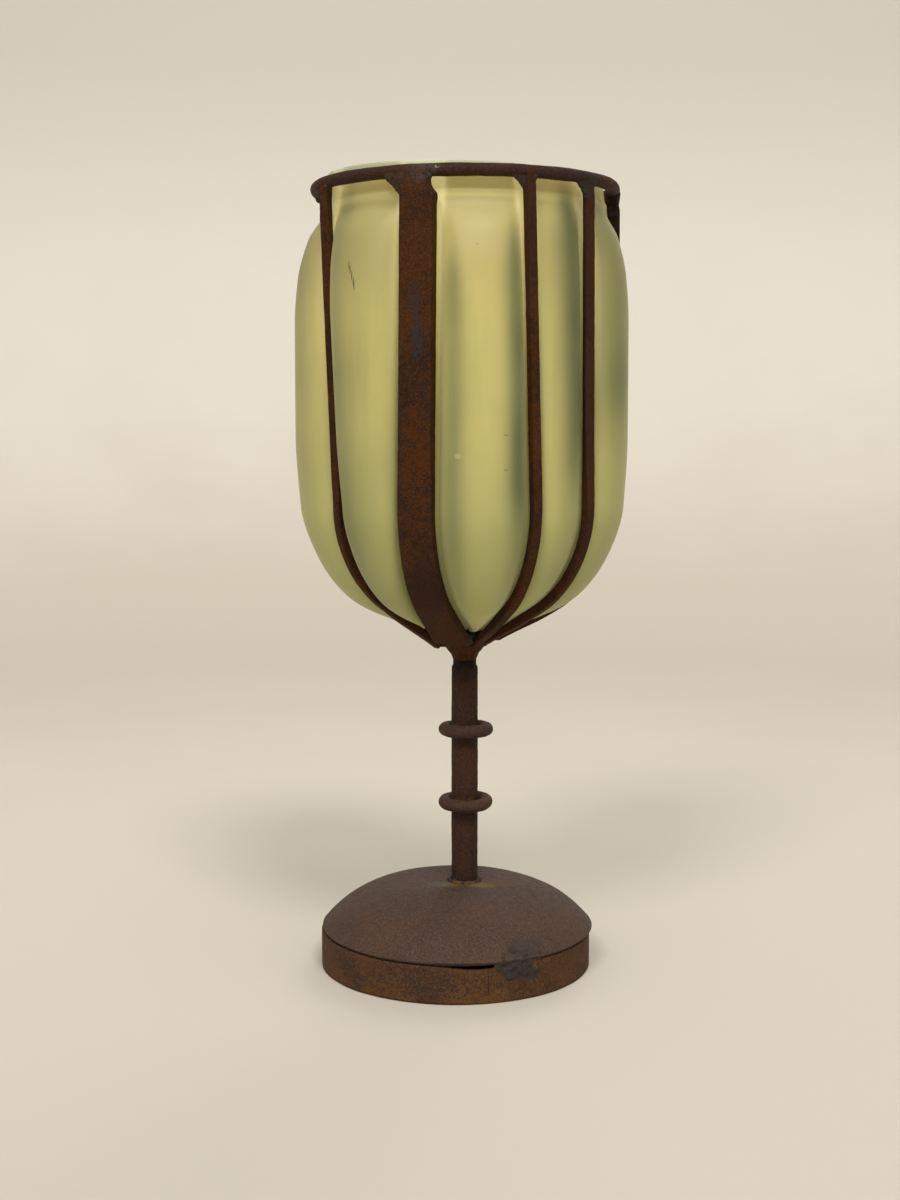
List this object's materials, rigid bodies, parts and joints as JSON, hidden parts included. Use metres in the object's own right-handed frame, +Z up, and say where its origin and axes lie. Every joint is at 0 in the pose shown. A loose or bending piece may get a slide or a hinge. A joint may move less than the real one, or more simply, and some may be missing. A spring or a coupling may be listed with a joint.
{
  "type": "hurricane candle lantern",
  "caption": "Footed hurricane candle holder: a lobed frosted glass cup held in a cage of rusty iron bars on a ringed stem and domed base, with a lift-out pillar candle.",
  "frame": {"origin": "on the stem's axis at the height of the surface that the base hoop stands on", "axes": "+Z up along the stem, -Y towards the front, +X to the viewer's right"},
  "size_m": [0.121, 0.1227, 0.292],
  "materials": {
    "iron": "dark brown rust, matte",
    "dome": "mauve-brown rusted sheet, matte",
    "weld": "lumpy weld metal with grey heat tint",
    "glass": "frosted, pale yellow-green, translucent",
    "wax": "ivory candle wax, soft satin",
    "wick": "waxed cotton wick"
  },
  "bodies": {
    "stand": {"base_band": "iron", "stem": "iron", "stem_ring_lower": "iron", "stem_ring_upper": "iron", "cage_hub": "iron", "cage_top_ring": "iron", "rib_front_wide": "iron", "rib_front": "iron", "rib_right": "iron", "rib_right_wide": "iron", "rib_right_back": "iron", "rib_back": "iron", "rib_back_wide": "iron", "rib_left_back": "iron", "rib_left": "iron", "base_dome": "dome", "base_tack_weld_front": "weld", "base_tack_weld_back": "weld", "base_tack_weld_left": "weld", "stem_foot_weld": "weld", "hub_weld": "weld", "rib_weld_front_wide": "weld", "rib_weld_front": "weld", "rib_weld_right": "weld", "rib_weld_right_wide": "weld", "rib_weld_right_back": "weld", "rib_weld_back": "weld", "rib_weld_back_wide": "weld", "rib_weld_left_back": "weld", "rib_weld_left": "weld", "glass_cup": "glass"},
    "candle": {"candle_wax": "wax", "candle_wick": "wick"}
  },
  "joints": [
    {"name": "candle_lift", "type": "slide", "parent": "stand", "child": "candle", "axis": [0, 0, 1], "range_m": [0, 0.17]}
  ]
}
